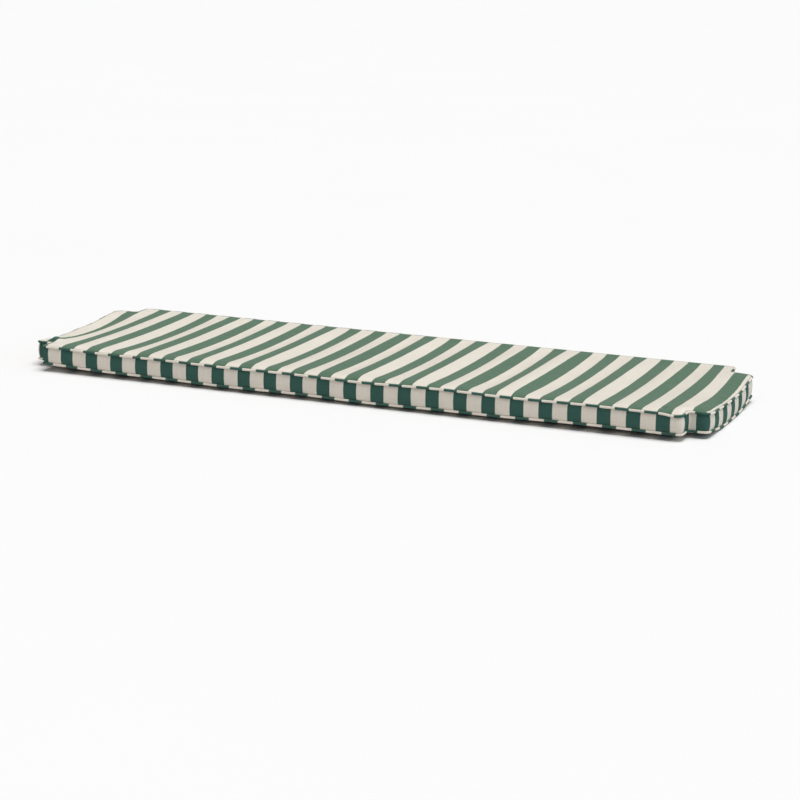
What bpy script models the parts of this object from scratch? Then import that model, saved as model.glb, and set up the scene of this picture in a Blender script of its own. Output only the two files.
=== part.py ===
# Long seat cushion: a filled pad with notched corners and a cord sewn into each of its two seams.
# Lengths are in metres. X runs along the cushion, -Y is its front edge and +Z is up.
# It lies on the plane Z = 0 with its middle over the origin.
import math

import bmesh
import bpy
from mathutils import Vector
from mathutils.geometry import delaunay_2d_cdt

# Overall plan, measured over the cords; each end bows out beyond it at its middle
LENGTH = 1.568
FRONT_TAB_LENGTH = 1.482
BACK_TAB_LENGTH = 1.462
DEPTH = 0.475
FRONT_NOTCH_DEPTH = 0.045
BACK_NOTCH_DEPTH = 0.048
END_BOW = 0.003

# Rounding of the corners: of the front and back tabs, of the two ends, and inside the notches
TAB_RADIUS = 0.010
END_FRONT_RADIUS = 0.012
END_BACK_RADIUS = 0.024
NOTCH_RADIUS = 0.008

# The cord in each seam, and the groove of the pad that it sits in
CORD_RADIUS = 0.0026
CORD_SIDES = 8
GROOVE_RADIUS = CORD_RADIUS + 0.0004
GROOVE_ANGLES_DEG = (140.0, 168.0, 196.0, 224.0, 250.0)

# The pad lies flat along its middle, and the underside rises a little towards the long edges
REST_HALF_DEPTH = 0.075
UNDERSIDE_RISE = 0.0045
UNDERSIDE_RISE_END = 0.215

# Heights of the two seams at the middle of each end, and how far they rise from there
BOTTOM_SEAM_HEIGHT = 0.0032
BORDER_HEIGHT = 0.0435
BOTTOM_SEAM_RISE = 0.0100
FRONT_TOP_SEAM_RISE = 0.0080
BACK_TOP_SEAM_RISE = 0.0100
FRONT_RISE_SPAN = (0.055, 0.222)
BACK_RISE_SPAN = (0.042, 0.180)

# Level of the top, sunk along the middle and fullest at the front
CROWN_MIDDLE = 0.0550
CROWN_EDGE_RISE = 0.0053
CROWN_EDGE_POWER = 1.8
CROWN_FRONT_LEAN = 0.0021

# How far in from a seam each panel takes to reach its own level
TOP_ROLL = 0.034
BOTTOM_ROLL = 0.060
ROLL_POWER = 2.2

# The border is drawn in at the seams and swells between them
BORDER_SWELL = 0.0016
BORDER_LEVELS = (0.2, 0.5, 0.8)

# Soft ripples that run across the top from front to back, fading out towards the left end
# wavelength along X, height, phase in turns
TOP_RIPPLES = (
    (0.1210, 0.0020, 0.18),
    (0.1990, 0.0015, 0.50),
    (0.0970, 0.0015, 0.78),
    (0.0835, 0.0010, 0.08),
    (0.1680, 0.0012, 0.20),
    (0.1075, 0.0008, 0.95),
    (0.0750, 0.0010, 0.15),
    (0.1475, 0.0008, 0.76),
)
RIPPLE_POWER = 3.0
RIPPLE_FADE = 0.14

# Slow waves of the two front seams, and of the border's swell
FRONT_TOP_WAVES = (
    (1.700, 0.0013, 0.87),
    (0.460, 0.0006, 0.76),
    (0.320, 0.0008, 0.63),
)
FRONT_BOTTOM_WAVES = (
    (1.700, 0.0024, 0.76),
    (0.560, 0.0007, 0.47),
    (0.320, 0.0007, 0.62),
)
SWELL_WAVES = (
    (0.121, 0.0004, 0.00),
    (0.074, 0.0003, 0.40),
)

# The top sinks beside the left end
TROUGH_PLACE = (-0.749, 0.007)
TROUGH_WIDTH = 0.0196
TROUGH_HALF_DEPTH = 0.148
TROUGH_POWER = 0.78
TROUGH_SINK = 0.0124

# Spacing of the modelled points
EDGE_STEP = 0.028
CORNER_STEPS = 4
NOTCH_STEPS = 3
TOP_RING_INSETS = (0.008, 0.017, 0.034)
BOTTOM_RING_INSETS = (0.012, 0.030, BOTTOM_ROLL)
TOP_GRID_STEP = (0.022, 0.034)
BOTTOM_GRID_STEP = (0.100, REST_HALF_DEPTH / 2)
RING_TOLERANCE = 0.93
GRID_MARGIN = 0.016

# Colours as linear red, green, blue
CLOTH_COLOR = (0.74, 0.68, 0.58, 1.0)
CORD_COLOR = (0.025, 0.135, 0.095, 1.0)
CLOTH_ROUGHNESS = 0.92
CORD_ROUGHNESS = 0.88


# Start from an empty file
def clear_scene():
    for item in list(bpy.data.objects):
        bpy.data.objects.remove(item, do_unlink=True)


# One plain cloth material
def cloth_material(name, color, roughness):
    material = bpy.data.materials.new(name)
    material.use_nodes = True
    shader = material.node_tree.nodes["Principled BSDF"]
    shader.inputs["Base Color"].default_value = color
    shader.inputs["Roughness"].default_value = roughness
    shader.inputs["Metallic"].default_value = 0.0
    return material


# Sum of a table's waves at one place
def wave_sum(table, place):
    total = 0.0
    for wavelength, height, phase in table:
        total += height * math.sin(2.0 * math.pi * (place / wavelength + phase))
    return total


# 0 at the seam and 1 at the end of the roll, steep at first
def roll_blend(inset, roll):
    share = min(max(inset / roll, 0.0), 1.0)
    return 1.0 - (1.0 - share) ** ROLL_POWER


# 0 up to one distance, 1 from another, and smooth between them
def smooth_step(value, start, end):
    share = min(max((value - start) / (end - start), 0.0), 1.0)
    return share * share * (3.0 - 2.0 * share)


# The twelve corners of the seam line, counter-clockwise, with their radius and whether they turn inwards
def seam_corners():
    half_main = LENGTH / 2 - CORD_RADIUS
    half_front = FRONT_TAB_LENGTH / 2 - CORD_RADIUS
    half_back = BACK_TAB_LENGTH / 2 - CORD_RADIUS
    front = -DEPTH / 2 + CORD_RADIUS
    back = DEPTH / 2 - CORD_RADIUS
    front_shoulder = front + FRONT_NOTCH_DEPTH
    back_shoulder = back - BACK_NOTCH_DEPTH
    right_side = [
        (half_front, front, TAB_RADIUS, False),
        (half_front, front_shoulder, NOTCH_RADIUS, True),
        (half_main, front_shoulder, END_FRONT_RADIUS, False),
        (half_main, back_shoulder, END_BACK_RADIUS, False),
        (half_back, back_shoulder, NOTCH_RADIUS, True),
        (half_back, back, TAB_RADIUS, False),
    ]
    left_side = [(-x, y, radius, inner) for x, y, radius, inner in reversed(right_side)]
    return right_side + left_side


# A quarter turn at one corner, as points with outward normals
def corner_arc(corner, arriving, radius, inner):
    steps = NOTCH_STEPS if inner else CORNER_STEPS
    outward = Vector((arriving.y, -arriving.x))
    side = -1.0 if inner else 1.0
    start = corner - arriving * radius
    centre = start - outward * radius * side
    samples = []
    for step in range(steps + 1):
        turn = math.radians(90.0) * step / steps
        spoke = outward * side * math.cos(turn) + arriving * math.sin(turn)
        samples.append((centre + spoke * radius, spoke * side))
    return samples


# How far an end bows out at a place of its straight part
def end_bow(place):
    straight = DEPTH / 2 - BACK_NOTCH_DEPTH - END_BACK_RADIUS
    if abs(place.x) < LENGTH / 2 - END_FRONT_RADIUS or abs(place.y) > straight:
        return 0.0
    return END_BOW * (1.0 - (place.y / straight) ** 2)


# The whole seam line as points with outward normals
def seam_line():
    corners = seam_corners()
    places = [Vector((x, y)) for x, y, radius, inner in corners]
    count = len(places)
    arcs = []
    for index in range(count):
        arriving = (places[index] - places[index - 1]).normalized()
        radius, inner = corners[index][2:]
        arcs.append(corner_arc(places[index], arriving, radius, inner))
    samples = []
    for index in range(count):
        samples.extend(arcs[index])
        start, normal = arcs[index][-1]
        end = arcs[(index + 1) % count][0][0]
        pieces = max(1, round((end - start).length / EDGE_STEP))
        for piece in range(1, pieces):
            samples.append((start.lerp(end, piece / pieces), normal))
    return [(place + normal * end_bow(place), normal) for place, normal in samples]


# Level of the underside: flat along the middle, a little higher towards the long edges
def rest_level(place):
    return UNDERSIDE_RISE * smooth_step(abs(place.y), REST_HALF_DEPTH, UNDERSIDE_RISE_END)


# Shares of the seams' rise towards the front and towards the back
def front_share(place):
    return smooth_step(-place.y, *FRONT_RISE_SPAN)


def back_share(place):
    return smooth_step(place.y, *BACK_RISE_SPAN)


# Height of the lower seam, lowest at the middle of each end
def bottom_seam_height(place):
    rise = BOTTOM_SEAM_RISE * (front_share(place) + back_share(place))
    return BOTTOM_SEAM_HEIGHT + rise + wave_sum(FRONT_BOTTOM_WAVES, place.x) * front_share(place)


# Height of the upper seam, also lowest at the middle of each end
def top_seam_height(place):
    front = (FRONT_TOP_SEAM_RISE + wave_sum(FRONT_TOP_WAVES, place.x)) * front_share(place)
    back = BACK_TOP_SEAM_RISE * back_share(place)
    return BOTTOM_SEAM_HEIGHT + BORDER_HEIGHT + front + back


# How far the border stands out of the seam line halfway up
def border_swell(place):
    return BORDER_SWELL + wave_sum(SWELL_WAVES, place.x + place.y)


# Shortest distance from a place to the seam line
def distance_to_seam(place, samples):
    nearest = LENGTH
    for index, (end, normal) in enumerate(samples):
        start = samples[index - 1][0]
        along = end - start
        share = (place - start).dot(along) / along.length_squared
        foot = start + along * min(max(share, 0.0), 1.0)
        nearest = min(nearest, (place - foot).length)
    return nearest


# How far the top sinks beside the left end
def trough_depth(place):
    across = math.exp(-0.5 * ((place.x - TROUGH_PLACE[0]) / TROUGH_WIDTH) ** 2)
    along = max(1.0 - ((place.y - TROUGH_PLACE[1]) / TROUGH_HALF_DEPTH) ** 2, 0.0)
    return TROUGH_SINK * across * along**TROUGH_POWER


# Level of the top panel away from its seam
def crown_level(place):
    towards_back = place.y / (DEPTH / 2)
    edge_rise = CROWN_EDGE_RISE * abs(towards_back) ** CROWN_EDGE_POWER
    fade = (1.0 - abs(towards_back) ** RIPPLE_POWER) * smooth_step(LENGTH / 2 + place.x, 0.0, RIPPLE_FADE)
    level = CROWN_MIDDLE + edge_rise - CROWN_FRONT_LEAN * towards_back
    return level + wave_sum(TOP_RIPPLES, place.x) * fade - trough_depth(place)


# Top panel: its own level, rolling down to its seam
def top_height(place, inset):
    crown = crown_level(place)
    groove_edge = math.radians(GROOVE_ANGLES_DEG[0])
    edge = top_seam_height(place) + GROOVE_RADIUS * math.sin(groove_edge)
    start = -GROOVE_RADIUS * math.cos(groove_edge)
    blend = roll_blend(inset - start, TOP_ROLL)
    return edge + (crown - edge) * blend


# Underside: its own level, rolling up to its seam
def bottom_height(place, inset):
    level = rest_level(place)
    groove_edge = math.radians(GROOVE_ANGLES_DEG[0])
    edge = bottom_seam_height(place) - GROOVE_RADIUS * math.sin(groove_edge)
    start = -GROOVE_RADIUS * math.cos(groove_edge)
    blend = roll_blend(inset - start, BOTTOM_ROLL * RING_TOLERANCE - start)
    return edge + (level - edge) * blend


# One ring of the pad's side, offset from the seam line; heights come with the samples
def side_rings(samples):
    rings = []
    for angle in GROOVE_ANGLES_DEG:
        out = GROOVE_RADIUS * math.cos(math.radians(angle))
        up = GROOVE_RADIUS * math.sin(math.radians(angle))
        rings.append([
            (place + normal * out, top_seam_height(place) + up) for place, normal in samples
        ])
    last = math.radians(GROOVE_ANGLES_DEG[-1])
    edge_out = GROOVE_RADIUS * math.cos(last)
    edge_in = -GROOVE_RADIUS * math.sin(last)
    for level in reversed(BORDER_LEVELS):
        ring = []
        for place, normal in samples:
            low = bottom_seam_height(place) + edge_in
            high = top_seam_height(place) - edge_in
            out = edge_out + (border_swell(place) - edge_out) * math.sin(math.pi * level)
            ring.append((place + normal * out, low + (high - low) * level))
        rings.append(ring)
    for angle in reversed(GROOVE_ANGLES_DEG):
        out = GROOVE_RADIUS * math.cos(math.radians(angle))
        down = GROOVE_RADIUS * math.sin(math.radians(angle))
        rings.append([
            (place + normal * out, bottom_seam_height(place) - down) for place, normal in samples
        ])
    return rings


# Places inside a panel: rings that follow the seam, then a grid over the middle
def panel_places(samples, insets, grid_step):
    places = []
    for inset in insets:
        for place, normal in samples:
            candidate = place - normal * inset
            if distance_to_seam(candidate, samples) > inset * RING_TOLERANCE:
                places.append(candidate)
    step_x, step_y = grid_step
    columns = int(LENGTH / 2 / step_x)
    rows = int(DEPTH / 2 / step_y)
    for column in range(-columns, columns + 1):
        for row in range(-rows, rows + 1):
            candidate = Vector((column * step_x, row * step_y))
            half_length = LENGTH / 2 - insets[-1] - GRID_MARGIN
            half_depth = DEPTH / 2 - insets[-1] - GRID_MARGIN
            if abs(candidate.x) < half_length and abs(candidate.y) < half_depth:
                if distance_to_seam(candidate, samples) > insets[-1] + GRID_MARGIN:
                    places.append(candidate)
    return places


# Drop places that crowd one already kept
def thin_out(places, spacing):
    kept = []
    for place in places:
        if all((place - other).length > spacing for other in kept):
            kept.append(place)
    return kept


# Fill one panel between a ring of the side and its inner places
def fill_panel(mesh, rim, samples, insets, grid_step, height):
    inner = thin_out(panel_places(samples, insets, grid_step), insets[0] * 0.6)
    flat = [Vector((vert.co.x, vert.co.y)) for vert in rim] + inner
    count = len(rim)
    edges = [(index, (index + 1) % count) for index in range(count)]
    found = delaunay_2d_cdt(flat, edges, [], 1, 1e-7)
    verts = list(rim)
    for place in inner:
        verts.append(mesh.verts.new((place.x, place.y, height(place, distance_to_seam(place, samples)))))
    origins = [sources[0] for sources in found[3]]
    for face in found[2]:
        mesh.faces.new([verts[origins[corner]] for corner in face])


# Join two rings of equal count with a band of faces
def join_rings(mesh, upper, lower):
    count = len(upper)
    for index in range(count):
        following = (index + 1) % count
        mesh.faces.new((upper[index], lower[index], lower[following], upper[following]))


# Turn a finished mesh into a named object with one material
def make_object(name, mesh, material):
    bmesh.ops.recalc_face_normals(mesh, faces=mesh.faces)
    bmesh.ops.triangulate(mesh, faces=mesh.faces)
    data = bpy.data.meshes.new(name)
    mesh.to_mesh(data)
    mesh.free()
    for polygon in data.polygons:
        polygon.use_smooth = True
    data.materials.append(material)
    item = bpy.data.objects.new(name, data)
    bpy.context.collection.objects.link(item)
    return item


# The filled pad: top panel, border and underside in one solid
def build_pad(samples):
    mesh = bmesh.new()
    rings = []
    for ring in side_rings(samples):
        rings.append([mesh.verts.new((place.x, place.y, z)) for place, z in ring])
    for upper, lower in zip(rings, rings[1:]):
        join_rings(mesh, upper, lower)
    fill_panel(mesh, rings[0], samples, TOP_RING_INSETS, TOP_GRID_STEP, top_height)
    fill_panel(mesh, rings[-1], samples, BOTTOM_RING_INSETS, BOTTOM_GRID_STEP, bottom_height)
    material = cloth_material("stripe_cloth", CLOTH_COLOR, CLOTH_ROUGHNESS)
    return make_object("cushion", mesh, material)


# One covered cord that runs all the way round a seam
def build_cord(name, samples, seam_height, material):
    mesh = bmesh.new()
    loops = []
    for side in range(CORD_SIDES):
        angle = 2.0 * math.pi * side / CORD_SIDES
        out = CORD_RADIUS * math.cos(angle)
        up = CORD_RADIUS * math.sin(angle)
        loop = []
        for place, normal in samples:
            foot = place + normal * out
            loop.append(mesh.verts.new((foot.x, foot.y, seam_height(place) + up)))
        loops.append(loop)
    for index, loop in enumerate(loops):
        join_rings(mesh, loop, loops[index - 1])
    return make_object(name, mesh, material)


# The whole cushion
def build():
    clear_scene()
    samples = seam_line()
    build_pad(samples)
    cord_material = cloth_material("cord_cloth", CORD_COLOR, CORD_ROUGHNESS)
    build_cord("piping_top", samples, top_seam_height, cord_material)
    build_cord("piping_bottom", samples, bottom_seam_height, cord_material)


build()
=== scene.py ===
import math

import bpy
import numpy as np
from mathutils import Matrix, Vector
from mathutils.geometry import delaunay_2d_cdt


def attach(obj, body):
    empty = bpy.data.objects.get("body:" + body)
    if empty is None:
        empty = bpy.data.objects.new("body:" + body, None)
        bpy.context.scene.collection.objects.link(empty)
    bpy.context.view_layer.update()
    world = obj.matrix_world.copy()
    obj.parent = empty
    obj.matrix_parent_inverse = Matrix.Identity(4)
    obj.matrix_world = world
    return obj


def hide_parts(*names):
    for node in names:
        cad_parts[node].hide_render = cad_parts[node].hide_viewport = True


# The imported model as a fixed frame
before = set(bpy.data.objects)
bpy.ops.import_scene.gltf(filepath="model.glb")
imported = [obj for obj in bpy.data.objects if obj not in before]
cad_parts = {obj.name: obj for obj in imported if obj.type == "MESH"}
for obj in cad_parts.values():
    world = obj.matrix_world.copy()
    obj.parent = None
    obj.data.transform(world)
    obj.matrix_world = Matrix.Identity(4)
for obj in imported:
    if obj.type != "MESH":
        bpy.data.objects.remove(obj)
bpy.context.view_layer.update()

# Overall plan, measured over the cords; each end bows out beyond it at its middle
LENGTH = 1.568
FRONT_TAB_LENGTH = 1.482
BACK_TAB_LENGTH = 1.462
DEPTH = 0.475
FRONT_NOTCH_DEPTH = 0.045
BACK_NOTCH_DEPTH = 0.048
END_BOW = 0.003

# Rounding of the corners: of the front and back tabs, of the two ends, and inside the notches
TAB_RADIUS = 0.010
END_FRONT_RADIUS = 0.012
END_BACK_RADIUS = 0.024
NOTCH_RADIUS = 0.008

# The front tab's left corner is sharper than the others and reaches a little further
LEFT_TAB_RADIUS = 0.006
LEFT_TAB_REACH = 0.0025

# The cord, and the groove of cloth that closes on it
CORD_RADIUS = 0.0026
CORD_SIDES = 14
GROOVE_RADIUS = 0.0028
GROOVE_FIRST_DEG = 118.0
GROOVE_LAST_DEG = 250.0
GROOVE_STEPS = 9

# The pad lies flat along its middle, and the underside rises a little towards the long edges
REST_HALF_DEPTH = 0.075
UNDERSIDE_RISE = 0.0045
UNDERSIDE_RISE_END = 0.215

# Heights of the two seams at the middle of each end, and how far they rise from there
BOTTOM_SEAM_HEIGHT = 0.0032
BORDER_HEIGHT = 0.0435
BOTTOM_SEAM_RISE = 0.0100
FRONT_TOP_SEAM_RISE = 0.0080
BACK_TOP_SEAM_RISE = 0.0100
FRONT_RISE_SPAN = (0.055, 0.222)
BACK_RISE_SPAN = (0.042, 0.180)

# Level of the top, sunk along the middle and fullest at the front
CROWN_MIDDLE = 0.0550
CROWN_EDGE_RISE = 0.0053
CROWN_EDGE_POWER = 1.8
CROWN_FRONT_LEAN = 0.0021

# How far in from a seam each panel takes to reach its own level
TOP_ROLL = 0.034
BOTTOM_ROLL = 0.056
ROLL_POWER = 2.2

# The border is drawn in at the seams and swells between them
BORDER_SWELL = 0.0016
BORDER_SWELL_POWER = 0.7
BORDER_STEPS = 14

# Soft ripples that run across the top from front to back, fading out towards the left end
# wavelength along X, height, phase in turns
TOP_RIPPLES = (
    (0.1210, 0.0020, 0.18),
    (0.1990, 0.0015, 0.50),
    (0.0970, 0.0015, 0.78),
    (0.0835, 0.0010, 0.08),
    (0.1680, 0.0012, 0.20),
    (0.1075, 0.0008, 0.95),
    (0.0750, 0.0010, 0.15),
    (0.1475, 0.0008, 0.76),
)
RIPPLE_POWER = 3.0
RIPPLE_FADE = 0.14

# Slow waves of the two front seams, and of the border's swell
FRONT_TOP_WAVES = (
    (1.700, 0.0013, 0.87),
    (0.460, 0.0006, 0.76),
    (0.320, 0.0008, 0.63),
)
FRONT_BOTTOM_WAVES = (
    (1.700, 0.0024, 0.76),
    (0.560, 0.0007, 0.47),
    (0.320, 0.0007, 0.62),
)
SWELL_WAVES = (
    (0.121, 0.0004, 0.00),
    (0.074, 0.0003, 0.40),
)

# The top sinks beside the left end
TROUGH_PLACE = (-0.749, 0.007)
TROUGH_WIDTH = 0.0196
TROUGH_HALF_DEPTH = 0.148
TROUGH_POWER = 0.78
TROUGH_SINK = 0.0116

# Lumps and hollows of the top near its corners and its right end
# place, spread along X and Y, height
TOP_LUMPS = (
    ((-0.7400, -0.1775), (0.0080, 0.0100), 0.0104),
    ((0.7300, -0.1950), (0.0100, 0.0170), 0.0050),
    ((0.6940, -0.2060), (0.0080, 0.0045), -0.0040),
    ((0.7350, 0.1400), (0.0260, 0.0300), 0.0030),
    ((0.7540, -0.0400), (0.0240, 0.0600), -0.0050),
)
LUMP_FADE = 0.010

# Where the upper seam sags, and where the lower one is lifted
# place, spread along X and Y, depth or height
UPPER_SEAM_SAGS = (
    ((0.7900, 0.0200), (0.0300, 0.0900), 0.0018),
    ((0.7900, -0.1600), (0.0350, 0.0260), 0.0044),
    ((0.7750, 0.1900), (0.0300, 0.0300), 0.0022),
    ((0.7220, -0.2350), (0.0140, 0.0300), 0.0034),
    ((-0.7870, -0.1100), (0.0400, 0.0550), 0.0022),
)
LOWER_SEAM_LIFTS = (
    ((0.6400, -0.2350), (0.0900, 0.0500), 0.0013),
    ((-0.7200, -0.2350), (0.0400, 0.0500), 0.0018),
)

# How far the top's cloth is drawn over each end seam, more at the corners, and how far in that is felt
END_DRAW = 0.0014
END_DRAW_LEAN = 0.010
END_DRAW_SPREAD = 0.12
END_DRAW_REACH = 0.070

# The stripes are pulled towards the left at the right end of the back
BACK_PULL = 0.0145
BACK_PULL_PLACE = 0.727
BACK_PULL_WIDTH = 0.035
BACK_PULL_POWER = 2.5

# They are also pulled towards the left beside the front tab's left corner
# place, spread along X and Y, distance
FRONT_PULLS = (
    ((-0.7350, -0.2050), (0.0220, 0.0280), 0.0080),
)

# Fine puckers where the cloth is sewn, strongest right at the seam
# wavelength along the seam, height, phase in turns
PUCKER_WAVES = (
    (0.0230, 0.00034, 0.10),
    (0.0152, 0.00026, 0.55),
    (0.0370, 0.00030, 0.30),
)
PUCKER_REACH = 0.026
PUCKER_POWER = 1.4
PUCKER_GROWTH = 0.006

# The puckers wander along the seam, and lean as they run in from it or down the border
PUCKER_DRIFT_WAVES = ((0.31, 0.010, 0.0),)
PUCKER_LEAN = 0.35
BORDER_PUCKER_SHIFT = 0.4
BORDER_PUCKER_LEAN = 0.02

# Stripes of the canvas: where the first off-white one starts on the front border, and their sizes
STRIPE_PERIOD = 0.0625874
STRIPE_START = -0.724985
WHITE_SHARE = 0.52
FRONT_BORDER_SHIFT = 0.0010
END_STRIPE_START = -0.1810
LEFT_END_SHIFT = 0.010

# The cords are cut from the same canvas, out of step with it, and the upper one is a little stretched
TOP_CORD_STRETCH = 1.0076
TOP_CORD_SHIFT = 0.0209
BOTTOM_CORD_SHIFT = -0.0117

# From the right front corner on, both have slipped along their seams: how far, and over what length
RIGHT_END_SLIP = 0.009
SLIP_REACH = 0.090

# The upper cord is joined on the front, where its stripes jump back a little
SPLICE_PLACE = -0.498
SPLICE_JUMP = 0.0101

# Spacing of the modelled points
EDGE_STEP = 0.0052
CORNER_STEPS = 10
NOTCH_STEPS = 7
TOP_RING_INSETS = (0.0045, 0.0070, 0.0100, 0.0135, 0.0175, 0.0225, 0.0280)
BOTTOM_RING_INSETS = (0.0050, 0.0100, 0.0180, 0.0280, 0.0400, 0.0560)
TOP_GRID_STEP = 0.0068
BOTTOM_GRID_STEP = 0.0110
RING_TOLERANCE = 0.93
RING_CELL_SHARE = 0.35
GRID_CLEARANCE = 0.6
SEARCH_CHUNK = 1500

# Triangulation: fill only the inside, and take points this close for one
FILL_INSIDE = 1
MERGE_DISTANCE = 1e-7

# A normal with this much along an axis faces that way
FACING = 0.999

# Colours as linear red, green, blue
OFF_WHITE = (0.760, 0.700, 0.610, 1.0)
GREEN = (0.030, 0.098, 0.078, 1.0)
# Paler green painted on cloth that faces up: painted light and sheen, not a colour of the cloth
PAINTED_TOP_GREEN = (0.064, 0.142, 0.086, 1.0)

# How far up the cloth faces where painted light starts to pale its green, and where that painted light
# is strongest
TOP_LIGHT_SLOPES = (0.78, 0.965)

# Sheen of the raised fibres on the cloth that faces up
TOP_SHEEN = 0.35
SHEEN_ROUGHNESS = 0.45
SHEEN_TINT = (0.95, 1.0, 0.86, 1.0)

# Canvas: width of one thread, depth of its weave and of the soft wrinkles
THREAD = 0.00062
WEAVE_DEPTH = 0.00016
WEAVE_ROUNDNESS = 0.6
WEAVE_STRENGTH = 0.6
WRINKLE_DEPTH = 0.0016
WRINKLE_SCALE = 26.0
WRINKLE_STRENGTH = 0.55
CORD_WRINKLE_SHARE = 0.2

# How far the edges of the stripes wander, and at what scale
EDGE_WANDER = 0.0016
WANDER_SCALE = 22.0

# Streaks of single threads: scale across and along them, and an offset for those of the weft
STREAK_FINE = 900.0
STREAK_LONG = 26.0
STREAK_OFFSET = 3.0

# Shade of the cloth as a factor: by streaks and by slow patches of its tone, and painted shade between
# the threads, full on top of them
STREAK_RANGE = (0.6, 1.4)
STREAK_SHADES = (0.93, 1.05)
PATCH_SCALE = 7.0
PATCH_RANGE = (0.30, 0.70)
PATCH_SHADES = (0.965, 1.02)
THREAD_RANGE = (0.0, 0.6)
PAINTED_WEAVE_SHADES = (0.86, 1.0)

# Roughness of the cloth, which varies a little from place to place
ROUGH_SCALE = 60.0
ROUGH_RANGE = (0.3, 0.7)
ROUGH_LEVELS = (0.82, 0.95)
CLOTH_SPECULAR = 0.35

# Plain floor, with faint patches a little darker than its colour
FLOOR_HALF_SIZE = 60.0
FLOOR_COLOR = (0.82, 0.82, 0.815, 1.0)
FLOOR_DARKENING = 0.985
FLOOR_PATCH_SCALE = 1.5
FLOOR_ROUGHNESS = 0.95
FLOOR_SPECULAR = 0.1

# Light: the room, and soft lamps given by name, direction, strength, softness in degrees and colour
ROOM_COLOR = (1.0, 0.99, 0.985, 1.0)
ROOM_STRENGTH = 0.32
LAMPS = (
    ("key_light", (0.18, -0.02, 0.97), 2.75, 40.0, (1.0, 0.995, 1.0)),
    ("front_light", (-0.30, -0.85, 0.35), 0.08, 60.0, (1.0, 0.45, 0.40)),
    ("right_light", (0.95, -0.15, 0.25), 0.40, 50.0, (0.45, 0.85, 1.0)),
)

# Camera at the photo's angle
CAMERA_PLACE = (1.92756, -4.68681, 1.19053)
CAMERA_YAW = 0.384702
CAMERA_PITCH = 0.238289
CAMERA_ROLL = -0.0146815
CAMERA_LENS = 105.476
CAMERA_SENSOR = 36.0
CAMERA_FAR = 200.0


# Sum of a table's waves at each place
def wave_sum(table, place):
    total = np.zeros_like(place)
    for wavelength, height, phase in table:
        total += height * np.sin(2.0 * math.pi * (place / wavelength + phase))
    return total


# 0 at the seam and 1 at the end of the roll, steep at first
def roll_blend(inset, roll):
    share = np.clip(inset / roll, 0.0, 1.0)
    return 1.0 - (1.0 - share) ** ROLL_POWER


# The twelve corners of the seam line, counter-clockwise, with their radius and whether they turn inwards
def seam_corners():
    half_main = LENGTH / 2 - CORD_RADIUS
    half_front = FRONT_TAB_LENGTH / 2 - CORD_RADIUS
    half_back = BACK_TAB_LENGTH / 2 - CORD_RADIUS
    front = -DEPTH / 2 + CORD_RADIUS
    back = DEPTH / 2 - CORD_RADIUS
    front_shoulder = front + FRONT_NOTCH_DEPTH
    back_shoulder = back - BACK_NOTCH_DEPTH
    right_side = [
        (half_front, front, TAB_RADIUS, False),
        (half_front, front_shoulder, NOTCH_RADIUS, True),
        (half_main, front_shoulder, END_FRONT_RADIUS, False),
        (half_main, back_shoulder, END_BACK_RADIUS, False),
        (half_back, back_shoulder, NOTCH_RADIUS, True),
        (half_back, back, TAB_RADIUS, False),
    ]
    left_side = [(-x, y, radius, inner) for x, y, radius, inner in reversed(right_side)]
    left_front = -half_front - LEFT_TAB_REACH
    left_side[-2] = (left_front, front_shoulder, NOTCH_RADIUS, True)
    left_side[-1] = (left_front, front, LEFT_TAB_RADIUS, False)
    return right_side + left_side


# A quarter turn at one corner, as points with outward normals
def corner_arc(corner, arriving, radius, inner):
    steps = NOTCH_STEPS if inner else CORNER_STEPS
    outward = Vector((arriving.y, -arriving.x))
    side = -1.0 if inner else 1.0
    start = corner - arriving * radius
    centre = start - outward * radius * side
    samples = []
    for step in range(steps + 1):
        turn = math.radians(90.0) * step / steps
        spoke = outward * side * math.cos(turn) + arriving * math.sin(turn)
        samples.append((centre + spoke * radius, spoke * side))
    return samples


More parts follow.
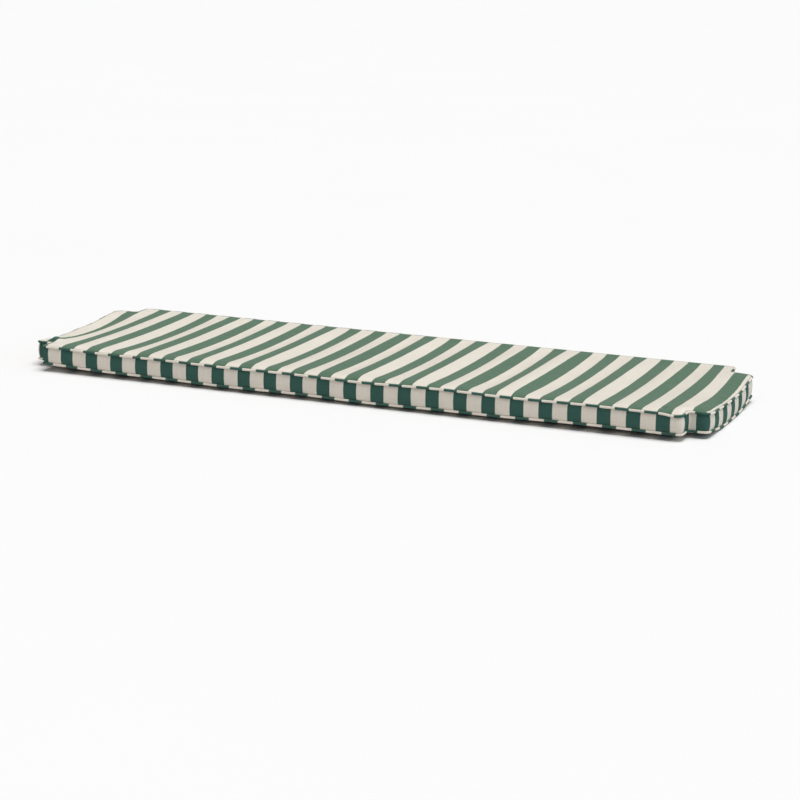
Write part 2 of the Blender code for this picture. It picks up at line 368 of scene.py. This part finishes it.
# The seam line with everything that the cloth needs to know along it
class Seam:
    def __init__(self):
        corners = seam_corners()
        places = [Vector((x, y)) for x, y, radius, inner in corners]
        count = len(places)
        arcs = []
        for index in range(count):
            arriving = (places[index] - places[index - 1]).normalized()
            radius, inner = corners[index][2:]
            arcs.append(corner_arc(places[index], arriving, radius, inner))
        samples = []
        strips = []
        strip = 0
        for index in range(count):
            arc = arcs[index]
            for step, sample in enumerate(arc):
                if corners[index][3] and step == len(arc) // 2:
                    strip += 1
                samples.append(sample)
                strips.append(strip)
            start, normal = arc[-1]
            end = arcs[(index + 1) % count][0][0]
            pieces = max(1, round((end - start).length / EDGE_STEP))
            for piece in range(1, pieces):
                samples.append((start.lerp(end, piece / pieces), normal))
                strips.append(strip)
        self.places = np.array([place for place, normal in samples])
        self.normals = np.array([normal for place, normal in samples])
        self.strips = np.array(strips)
        steps = np.linalg.norm(np.roll(self.places, -1, axis=0) - self.places, axis=1)
        self.total = steps.sum()
        self.path = np.concatenate([[0.0], np.cumsum(steps)])
        self.bow_out()

    # The two ends bow out a little between their corners
    def bow_out(self):
        straight = DEPTH / 2 - BACK_NOTCH_DEPTH - END_BACK_RADIUS
        along = np.clip(np.abs(self.places[:, 1]) / straight, 0.0, 1.0)
        at_end = np.abs(self.places[:, 0]) > LENGTH / 2 - END_FRONT_RADIUS
        bow = END_BOW * (1.0 - along**2) * at_end
        self.places = self.places + self.normals * bow[:, None]

    # Nearest foot on the seam of each point: how far in the point lies, and where along the seam
    def nearest(self, points):
        start = self.places
        along = np.roll(start, -1, axis=0) - start
        squared = (along**2).sum(axis=1)
        insets = []
        paths = []
        for first in range(0, len(points), SEARCH_CHUNK):
            offset = points[first:first + SEARCH_CHUNK, None, :] - start[None, :, :]
            share = np.clip((offset * along).sum(axis=2) / squared, 0.0, 1.0)
            gap = np.linalg.norm(offset - share[:, :, None] * along, axis=2)
            best = gap.argmin(axis=1)
            rows = np.arange(len(best))
            insets.append(gap[rows, best])
            paths.append(self.path[best] + share[rows, best] * np.sqrt(squared[best]))
        return np.concatenate(insets), np.concatenate(paths)


# 0 up to one distance, 1 from another, and smooth between them
def smooth_step(value, start, end):
    share = np.clip((value - start) / (end - start), 0.0, 1.0)
    return share * share * (3.0 - 2.0 * share)


# Level of the underside: flat along the middle, a little higher towards the long edges
def rest_level(y):
    return UNDERSIDE_RISE * smooth_step(np.abs(y), REST_HALF_DEPTH, UNDERSIDE_RISE_END)


# Shares of the seams' rise towards the front and towards the back
def front_share(y):
    return smooth_step(-y, *FRONT_RISE_SPAN)


def back_share(y):
    return smooth_step(y, *BACK_RISE_SPAN)


# Sum of a table's soft round lumps at each place
def lump_sum(table, x, y):
    total = np.zeros_like(x)
    for place, spread, height in table:
        reach = ((x - place[0]) / spread[0]) ** 2 + ((y - place[1]) / spread[1]) ** 2
        total += height * np.exp(-0.5 * reach)
    return total


# Height of the lower seam, lowest at the middle of each end
def bottom_seam_height(x, y):
    rise = BOTTOM_SEAM_RISE * (front_share(y) + back_share(y))
    waves = wave_sum(FRONT_BOTTOM_WAVES, x) * front_share(y)
    return BOTTOM_SEAM_HEIGHT + rise + waves + lump_sum(LOWER_SEAM_LIFTS, x, y)


# Height of the upper seam, also lowest at the middle of each end
def top_seam_height(x, y):
    front = (FRONT_TOP_SEAM_RISE + wave_sum(FRONT_TOP_WAVES, x)) * front_share(y)
    back = BACK_TOP_SEAM_RISE * back_share(y)
    return BOTTOM_SEAM_HEIGHT + BORDER_HEIGHT + front + back - lump_sum(UPPER_SEAM_SAGS, x, y)


# How far the top sinks beside the left end
def trough_depth(x, y):
    across = np.exp(-0.5 * ((x - TROUGH_PLACE[0]) / TROUGH_WIDTH) ** 2)
    along = np.clip(1.0 - ((y - TROUGH_PLACE[1]) / TROUGH_HALF_DEPTH) ** 2, 0.0, 1.0)
    return TROUGH_SINK * across * along**TROUGH_POWER


# Level of the top panel away from its seam
def crown_level(x, y):
    towards_back = y / (DEPTH / 2)
    edge_rise = CROWN_EDGE_RISE * np.abs(towards_back) ** CROWN_EDGE_POWER
    fade = (1.0 - np.abs(towards_back) ** RIPPLE_POWER) * smooth_step(LENGTH / 2 + x, 0.0, RIPPLE_FADE)
    level = CROWN_MIDDLE + edge_rise - CROWN_FRONT_LEAN * towards_back
    return level + wave_sum(TOP_RIPPLES, x) * fade - trough_depth(x, y)


# Stripe coordinate of the top's cloth: its own place, drawn at the two end seams and at one corner
def top_stripe(x, y):
    to_end = np.clip((LENGTH / 2 - np.abs(x)) / END_DRAW_REACH, 0.0, 1.0)
    right_draw = END_DRAW + END_DRAW_LEAN * y + END_DRAW_SPREAD * y**2
    draw = np.where(x > 0.0, right_draw, END_DRAW)
    near = np.exp(-0.5 * ((x - BACK_PULL_PLACE) / BACK_PULL_WIDTH) ** 2)
    pull = BACK_PULL * near * np.clip(y / (DEPTH / 2), 0.0, 1.0) ** BACK_PULL_POWER
    return x + np.sign(x) * draw * (1.0 - to_end) ** 2 + pull + lump_sum(FRONT_PULLS, x, y)


# Puckers of the sewn edge, fading with distance from the seam
def pucker(inset, path):
    fade = np.exp(-((inset / PUCKER_REACH) ** PUCKER_POWER))
    grown = np.clip(inset / PUCKER_GROWTH, 0.0, 1.0)
    drift = wave_sum(PUCKER_DRIFT_WAVES, path) + inset * PUCKER_LEAN
    return wave_sum(PUCKER_WAVES, path + drift) * fade * grown


# Top panel: its own level, rolling down to its seam
def top_height(x, y, inset, path):
    first = math.radians(GROOVE_FIRST_DEG)
    edge = top_seam_height(x, y) + GROOVE_RADIUS * math.sin(first)
    start = -GROOVE_RADIUS * math.cos(first)
    blend = roll_blend(inset - start, TOP_ROLL)
    rolled = edge + (crown_level(x, y) - edge) * blend
    lumps = lump_sum(TOP_LUMPS, x, y) * smooth_step(inset - start, 0.0, LUMP_FADE)
    return rolled + lumps + pucker(inset - start, path)


# Underside: its own level, rolling up to its seam
def bottom_height(x, y, inset, path):
    first = math.radians(GROOVE_FIRST_DEG)
    edge = bottom_seam_height(x, y) - GROOVE_RADIUS * math.sin(first)
    start = -GROOVE_RADIUS * math.cos(first)
    blend = roll_blend(inset - start, BOTTOM_ROLL * RING_TOLERANCE - start)
    return edge + (rest_level(y) - edge) * blend


# Rows of the pad's side from the top panel's edge down to the underside's
def side_rows(seam):
    x, y = seam.places.T
    high_seam = top_seam_height(x, y)
    low_seam = bottom_seam_height(x, y)
    angles = np.radians(np.linspace(GROOVE_FIRST_DEG, GROOVE_LAST_DEG, GROOVE_STEPS))
    rows = []
    for angle in angles:
        out = GROOVE_RADIUS * math.cos(angle)
        rows.append((np.full(len(x), out), high_seam + GROOVE_RADIUS * math.sin(angle)))
    edge_out = GROOVE_RADIUS * math.cos(angles[-1])
    edge_in = -GROOVE_RADIUS * math.sin(angles[-1])
    swell = BORDER_SWELL + wave_sum(SWELL_WAVES, x + y)
    along = seam.path[:-1]
    for step in range(BORDER_STEPS - 1, 0, -1):
        level = step / BORDER_STEPS
        low = low_seam + edge_in
        high = high_seam - edge_in
        bulge = math.sin(math.pi * level) ** BORDER_SWELL_POWER
        near_edge = 1.0 - math.sin(math.pi * level)
        drift = BORDER_PUCKER_LEAN * level
        crease = wave_sum(PUCKER_WAVES, along + BORDER_PUCKER_SHIFT + drift) * near_edge * bulge
        out = edge_out + (swell - edge_out) * bulge + crease
        rows.append((out, low + (high - low) * level))
    for angle in angles[::-1]:
        out = GROOVE_RADIUS * math.cos(angle)
        rows.append((np.full(len(x), out), low_seam - GROOVE_RADIUS * math.sin(angle)))
    return rows


# Places inside a panel: rows that follow the seam, then a grid over the middle
def panel_places(seam, insets, grid_step):
    groups = []
    for inset in insets:
        candidates = seam.places - seam.normals * inset
        distance, path = seam.nearest(candidates)
        kept = candidates[distance > inset * RING_TOLERANCE]
        cells = np.round(kept / (inset * RING_CELL_SHARE)).astype(int)
        groups.append(kept[np.sort(np.unique(cells, axis=0, return_index=True)[1])])
    columns = int(LENGTH / 2 / grid_step)
    rows = int(DEPTH / 2 / grid_step)
    grid_x, grid_y = np.meshgrid(np.arange(-columns, columns + 1), np.arange(-rows, rows + 1))
    grid = np.stack([grid_x.ravel(), grid_y.ravel()], axis=1) * grid_step
    half_length = LENGTH / 2 - insets[-1]
    half_depth = DEPTH / 2 - insets[-1]
    grid = grid[(np.abs(grid[:, 0]) < half_length) & (np.abs(grid[:, 1]) < half_depth)]
    distance, path = seam.nearest(grid)
    groups.append(grid[distance > insets[-1] + grid_step * GRID_CLEARANCE])
    return np.concatenate(groups)


# Triangles of one panel between its rim and its inner places, as indices of rim then inner
def panel_triangles(rim, inner):
    flat = [Vector(place) for place in np.concatenate([rim, inner])]
    count = len(rim)
    edges = [(index, (index + 1) % count) for index in range(count)]
    found = delaunay_2d_cdt(flat, edges, [], FILL_INSIDE, MERGE_DISTANCE)
    origins = [sources[0] for sources in found[3]]
    return [[origins[corner] for corner in face] for face in found[2]]


# Stripe coordinate along the border for both ends of every face, strip by strip
def border_stripes(seam):
    path = seam.path
    front_start = seam.places[0][0]
    strips = seam.strips
    right = np.flatnonzero((strips == 1) & (seam.normals[:, 0] > FACING))[0]
    back = np.flatnonzero((strips == 2) & (seam.normals[:, 1] > FACING))[0]
    left = np.flatnonzero((strips == 3) & (seam.normals[:, 0] < -FACING))[0]
    along_right = seam.places[right][1] - END_STRIPE_START + STRIPE_START
    along_left = seam.places[left][1] - END_STRIPE_START + STRIPE_START + LEFT_END_SHIFT
    # Right side of the front tab, right end, back, left end, and the rest of the front
    direction = np.array([1.0, 1.0, -1.0, -1.0, 1.0])[strips]
    offset = np.array([
        front_start + FRONT_BORDER_SHIFT,
        along_right - path[right],
        seam.places[back][0] + path[back],
        along_left + path[left],
        front_start - seam.total + FRONT_BORDER_SHIFT,
    ])[strips]
    return direction * path[:-1] + offset, direction * path[1:] + offset


# Stripe coordinate along a cord for both ends of every face, joined in the middle of the back
def cord_stripes(seam, stretch, shift, jump):
    path = seam.path
    behind = (seam.places[:, 1] > 0) & (seam.places[:, 0] < 0)
    wraps = np.maximum.accumulate(behind.astype(int))
    start = seam.places[0][0] - seam.total * wraps
    slip = RIGHT_END_SLIP * smooth_step(path, 0.0, SLIP_REACH)
    after_splice = (seam.places[:, 1] < 0) & (seam.places[:, 0] > SPLICE_PLACE)
    shifts = shift - jump * wraps * ~after_splice
    return (
        (path[:-1] + start - slip[:-1] * (1 - wraps)) * stretch + shifts,
        (path[1:] + start - slip[1:] * (1 - wraps)) * stretch + shifts,
    )


# A named smooth object from its points, faces and one flat coordinate pair per face corner
def make_object(name, points, faces, flat, material):
    data = bpy.data.meshes.new(name)
    data.from_pydata([tuple(point) for point in points], [], faces)
    layer = data.uv_layers.new(name="UVMap")
    layer.data.foreach_set("uv", np.asarray(flat, dtype=np.float32).ravel())
    data.polygons.foreach_set("use_smooth", [True] * len(faces))
    data.materials.append(material)
    data.update()
    item = bpy.data.objects.new(name, data)
    bpy.context.scene.collection.objects.link(item)
    return item


# Faces between two rows of equal count, with their flat coordinates
def band(first_row, second_row, count, starts, ends, first_across, second_across, faces, flat):
    for index in range(count):
        following = (index + 1) % count
        faces.append((
            first_row * count + index,
            second_row * count + index,
            second_row * count + following,
            first_row * count + following,
        ))
        flat.append((starts[index], first_across))
        flat.append((starts[index], second_across))
        flat.append((ends[index], second_across))
        flat.append((ends[index], first_across))


# The stuffed pad: top panel, border and underside
def build_cover(seam, material):
    rows = side_rows(seam)
    count = len(seam.places)
    points = []
    for out, height in rows:
        flat_places = seam.places + seam.normals * out[:, None]
        points.append(np.column_stack([flat_places, height]))
    faces = []
    flat = []
    starts, ends = border_stripes(seam)
    across = 0.0
    for row in range(len(rows) - 1):
        step = np.linalg.norm(points[row + 1][0] - points[row][0])
        band(row, row + 1, count, starts, ends, across, across - step, faces, flat)
        across -= step
    panels = (
        (0, TOP_RING_INSETS, TOP_GRID_STEP, top_height, True),
        (len(rows) - 1, BOTTOM_RING_INSETS, BOTTOM_GRID_STEP, bottom_height, False),
    )
    for row, insets, grid_step, height, is_top in panels:
        inner = panel_places(seam, insets, grid_step)
        rim = points[row][:, :2]
        inset, path = seam.nearest(inner)
        x, y = inner.T
        offset = sum(len(group) for group in points)
        points.append(np.column_stack([inner, height(x, y, inset, path)]))
        every = np.concatenate([rim, inner])
        stripe = top_stripe(every[:, 0], every[:, 1]) if is_top else every[:, 0]
        for triangle in panel_triangles(rim, inner):
            ordered = triangle if is_top else triangle[::-1]
            faces.append([
                row * count + corner if corner < count else offset + corner - count
                for corner in ordered
            ])
            flat.extend((stripe[corner], every[corner][1]) for corner in ordered)
    return make_object("cushion_cover", np.concatenate(points), faces, flat, material)


# One covered cord that runs all the way round a seam
def build_cord(name, seam, seam_height, stripes, material):
    x, y = seam.places.T
    count = len(x)
    height = seam_height(x, y)
    points = []
    for side in range(CORD_SIDES):
        angle = 2.0 * math.pi * side / CORD_SIDES
        foot = seam.places + seam.normals * CORD_RADIUS * math.cos(angle)
        points.append(np.column_stack([foot, height + CORD_RADIUS * math.sin(angle)]))
    faces = []
    flat = []
    width = 2.0 * math.pi * CORD_RADIUS / CORD_SIDES
    for side in range(CORD_SIDES):
        following = (side + 1) % CORD_SIDES
        band(following, side, count, *stripes, (side + 1) * width, side * width, faces, flat)
    return make_object(name, np.concatenate(points), faces, flat, material)


# Short names for building node materials
class Nodes:
    def __init__(self, material):
        material.use_nodes = True
        self.tree = material.node_tree
        self.shader = self.tree.nodes["Principled BSDF"]

    def add(self, kind, **settings):
        node = self.tree.nodes.new(kind)
        for name, value in settings.items():
            setattr(node, name, value)
        return node

    def join(self, source, target):
        self.tree.links.new(source, target)

    # One arithmetic step on sockets or plain numbers
    def math(self, operation, *values):
        node = self.add("ShaderNodeMath", operation=operation)
        for index, value in enumerate(values):
            if isinstance(value, (int, float)):
                node.inputs[index].default_value = value
            else:
                self.join(value, node.inputs[index])
        return node.outputs[0]

    # A value carried smoothly from one range to another
    def remap(self, value, low, high, to_low, to_high):
        node = self.add("ShaderNodeMapRange", interpolation_type="SMOOTHSTEP")
        self.join(value, node.inputs["Value"])
        node.inputs["From Min"].default_value = low
        node.inputs["From Max"].default_value = high
        node.inputs["To Min"].default_value = to_low
        node.inputs["To Max"].default_value = to_high
        return node.outputs["Result"]

    # Mix of two colours; the Mix node keeps its colour sockets behind those for numbers
    def mix_color(self, factor, first, second, blend="MIX"):
        node = self.add("ShaderNodeMix", data_type="RGBA", blend_type=blend)
        sockets = (node.inputs[0], node.inputs[6], node.inputs[7])
        for socket, value in zip(sockets, (factor, first, second)):
            if isinstance(value, (int, float, tuple)):
                socket.default_value = value
            else:
                self.join(value, socket)
        return node.outputs[2]

    def noise(self, vector, scale, detail):
        node = self.add("ShaderNodeTexNoise")
        self.join(vector, node.inputs["Vector"])
        node.inputs["Scale"].default_value = scale
        node.inputs["Detail"].default_value = detail
        return node.outputs["Fac"]

    def combine(self, x, y, z):
        node = self.add("ShaderNodeCombineXYZ")
        for index, value in enumerate((x, y, z)):
            if isinstance(value, (int, float)):
                node.inputs[index].default_value = value
            else:
                self.join(value, node.inputs[index])
        return node.outputs[0]

    def bump(self, height, distance, strength, normal=None):
        node = self.add("ShaderNodeBump")
        self.join(height, node.inputs["Height"])
        node.inputs["Distance"].default_value = distance
        node.inputs["Strength"].default_value = strength
        if normal is not None:
            self.join(normal, node.inputs["Normal"])
        return node.outputs["Normal"]


# 1 in an off-white stripe and 0 in a green one
def stripe_mask(nodes, along):
    middle = STRIPE_START + STRIPE_PERIOD * WHITE_SHARE / 2
    turns = nodes.math("DIVIDE", nodes.math("SUBTRACT", along, middle), STRIPE_PERIOD)
    distance = nodes.math("PINGPONG", turns, 0.5)
    soft = THREAD / STRIPE_PERIOD
    half = WHITE_SHARE / 2
    return nodes.remap(distance, half - soft, half + soft, 1.0, 0.0)


# Rounded thread crossings of a plain weave, 0 between threads and 1 on top of one
def weave_height(nodes, along, across):
    first = nodes.math("SINE", nodes.math("MULTIPLY", along, math.pi / THREAD))
    second = nodes.math("SINE", nodes.math("MULTIPLY", across, math.pi / THREAD))
    crossing = nodes.math("ABSOLUTE", nodes.math("MULTIPLY", first, second))
    return nodes.math("POWER", crossing, WEAVE_ROUNDNESS)


# Share of painted light on cloth that faces up: 1 there and 0 on the sides; it also sets where the sheen
# shows
def painted_top_light_mask(nodes):
    normal = nodes.add("ShaderNodeNewGeometry").outputs["True Normal"]
    split = nodes.add("ShaderNodeSeparateXYZ")
    nodes.join(normal, split.inputs[0])
    return nodes.remap(split.outputs[2], *TOP_LIGHT_SLOPES, 0.0, 1.0)


# The two dyed colours, with stripe edges that wander a little, and a paler green painted where the cloth
# faces up as painted light from above
def stripe_color(nodes, flat, along, painted_top_light):
    wander = nodes.math("SUBTRACT", nodes.noise(flat, WANDER_SCALE, detail=2.0), 0.5)
    edge = nodes.math("ADD", along, nodes.math("MULTIPLY", wander, EDGE_WANDER))
    # Painted light: the green is paler where the cloth faces up
    green = nodes.mix_color(painted_top_light, GREEN, PAINTED_TOP_GREEN)
    return nodes.mix_color(stripe_mask(nodes, edge), green, OFF_WHITE)


# Streaks of single threads, along the warp and along the weft
def thread_streaks(nodes, along, across):
    along_fine = nodes.math("MULTIPLY", along, STREAK_FINE)
    along_long = nodes.math("MULTIPLY", along, STREAK_LONG)
    across_fine = nodes.math("MULTIPLY", across, STREAK_FINE)
    across_long = nodes.math("MULTIPLY", across, STREAK_LONG)
    lengthwise = nodes.noise(nodes.combine(along_fine, across_long, 0.0), 1.0, detail=1.0)
    crosswise = nodes.noise(nodes.combine(along_long, across_fine, STREAK_OFFSET), 1.0, detail=1.0)
    return nodes.math("ADD", lengthwise, crosswise)


# Light and dark of the cloth as one factor, with painted shade between the threads
def cloth_shade(nodes, along, across, place, weave):
    streak = nodes.remap(thread_streaks(nodes, along, across), *STREAK_RANGE, *STREAK_SHADES)
    patch = nodes.remap(nodes.noise(place, PATCH_SCALE, detail=3.0), *PATCH_RANGE, *PATCH_SHADES)
    # Painted shade: darker between the threads, where the weave is low
    depth = nodes.remap(weave, *THREAD_RANGE, *PAINTED_WEAVE_SHADES)
    return nodes.math("MULTIPLY", nodes.math("MULTIPLY", streak, patch), depth)


# Yarn-dyed canvas in two colours with its weave, thread streaks and soft wrinkles, painted light on the
# green that faces up, and painted shade between the threads
def canvas_material(name, wrinkle_depth):
    material = bpy.data.materials.new(name)
    nodes = Nodes(material)
    inputs = nodes.shader.inputs
    flat = nodes.add("ShaderNodeUVMap", uv_map="UVMap").outputs["UV"]
    split = nodes.add("ShaderNodeSeparateXYZ")
    nodes.join(flat, split.inputs[0])
    along, across = split.outputs[0], split.outputs[1]
    place = nodes.add("ShaderNodeTexCoord").outputs["Object"]
    painted_top_light = painted_top_light_mask(nodes)
    weave = weave_height(nodes, along, across)

    dye = stripe_color(nodes, flat, along, painted_top_light)
    shade = cloth_shade(nodes, along, across, place, weave)
    color = nodes.mix_color(1.0, dye, nodes.combine(shade, shade, shade), blend="MULTIPLY")
    nodes.join(color, inputs["Base Color"])

    rough = nodes.remap(nodes.noise(place, ROUGH_SCALE, detail=2.0), *ROUGH_RANGE, *ROUGH_LEVELS)
    nodes.join(rough, inputs["Roughness"])
    inputs["Specular IOR Level"].default_value = CLOTH_SPECULAR
    nodes.join(nodes.math("MULTIPLY", painted_top_light, TOP_SHEEN), inputs["Sheen Weight"])
    inputs["Sheen Roughness"].default_value = SHEEN_ROUGHNESS
    inputs["Sheen Tint"].default_value = SHEEN_TINT

    wrinkle = nodes.noise(place, WRINKLE_SCALE, detail=3.0)
    normal = nodes.bump(wrinkle, wrinkle_depth, WRINKLE_STRENGTH)
    normal = nodes.bump(weave, WEAVE_DEPTH, WEAVE_STRENGTH, normal)
    nodes.join(normal, inputs["Normal"])
    return material


# Look of the plain pale floor
def floor_material():
    material = bpy.data.materials.new("floor_pale")
    nodes = Nodes(material)
    place = nodes.add("ShaderNodeTexCoord").outputs["Object"]
    darker = tuple(value * FLOOR_DARKENING for value in FLOOR_COLOR[:3]) + (1.0,)
    patches = nodes.noise(place, FLOOR_PATCH_SCALE, detail=2.0)
    nodes.join(nodes.mix_color(patches, FLOOR_COLOR, darker), nodes.shader.inputs["Base Color"])
    nodes.shader.inputs["Roughness"].default_value = FLOOR_ROUGHNESS
    nodes.shader.inputs["Specular IOR Level"].default_value = FLOOR_SPECULAR
    return material


# Plain pale floor
def build_floor():
    size = FLOOR_HALF_SIZE
    data = bpy.data.meshes.new("floor")
    corners = [(-size, -size, 0.0), (size, -size, 0.0), (size, size, 0.0), (-size, size, 0.0)]
    data.from_pydata(corners, [], [(0, 1, 2, 3)])
    data.materials.append(floor_material())
    floor = bpy.data.objects.new("floor", data)
    bpy.context.scene.collection.objects.link(floor)


# Camera axes from the photo's yaw, pitch and roll
def build_camera():
    forward = Vector((
        -math.sin(CAMERA_YAW) * math.cos(CAMERA_PITCH),
        math.cos(CAMERA_YAW) * math.cos(CAMERA_PITCH),
        -math.sin(CAMERA_PITCH),
    ))
    level_right = Vector((math.cos(CAMERA_YAW), math.sin(CAMERA_YAW), 0.0))
    level_down = forward.cross(level_right)
    right = level_right * math.cos(CAMERA_ROLL) + level_down * math.sin(CAMERA_ROLL)
    down = level_down * math.cos(CAMERA_ROLL) - level_right * math.sin(CAMERA_ROLL)
    turn = Matrix((right, -down, -forward)).transposed().to_4x4()
    data = bpy.data.cameras.new("camera")
    data.sensor_fit = "HORIZONTAL"
    data.sensor_width = CAMERA_SENSOR
    data.lens = CAMERA_LENS
    data.clip_end = CAMERA_FAR
    camera = bpy.data.objects.new("camera", data)
    camera.matrix_world = Matrix.Translation(CAMERA_PLACE) @ turn
    bpy.context.scene.collection.objects.link(camera)
    bpy.context.scene.camera = camera


# Even studio light: a bright room, and broad soft light mostly from above
def build_light():
    world = bpy.data.worlds.new("studio")
    world.use_nodes = True
    background = world.node_tree.nodes["Background"]
    background.inputs["Color"].default_value = ROOM_COLOR
    background.inputs["Strength"].default_value = ROOM_STRENGTH
    bpy.context.scene.world = world
    for name, direction, strength, softness, color in LAMPS:
        data = bpy.data.lights.new(name, "SUN")
        data.energy = strength
        data.color = color
        data.angle = math.radians(softness)
        lamp = bpy.data.objects.new(name, data)
        lamp.rotation_euler = Vector(direction).to_track_quat("Z", "Y").to_euler()
        bpy.context.scene.collection.objects.link(lamp)
    bpy.context.scene.view_settings.view_transform = "Standard"


# Put one finished piece in place of its CAD node
def hand_over(piece, node):
    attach(piece, "root")
    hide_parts(node)


# The whole scene
def build():
    seam = Seam()
    cloth = canvas_material("stripe_canvas", WRINKLE_DEPTH)
    cord_cloth = canvas_material("cord_canvas", WRINKLE_DEPTH * CORD_WRINKLE_SHARE)
    cover = build_cover(seam, cloth)
    top_stripes = cord_stripes(seam, TOP_CORD_STRETCH, TOP_CORD_SHIFT, SPLICE_JUMP)
    bottom_stripes = cord_stripes(seam, 1.0, BOTTOM_CORD_SHIFT, 0.0)
    top_cord = build_cord("cord_top", seam, top_seam_height, top_stripes, cord_cloth)
    bottom_cord = build_cord("cord_bottom", seam, bottom_seam_height, bottom_stripes, cord_cloth)
    hand_over(cover, "cushion")
    hand_over(top_cord, "piping_top")
    hand_over(bottom_cord, "piping_bottom")
    build_floor()
    build_camera()
    build_light()


build()
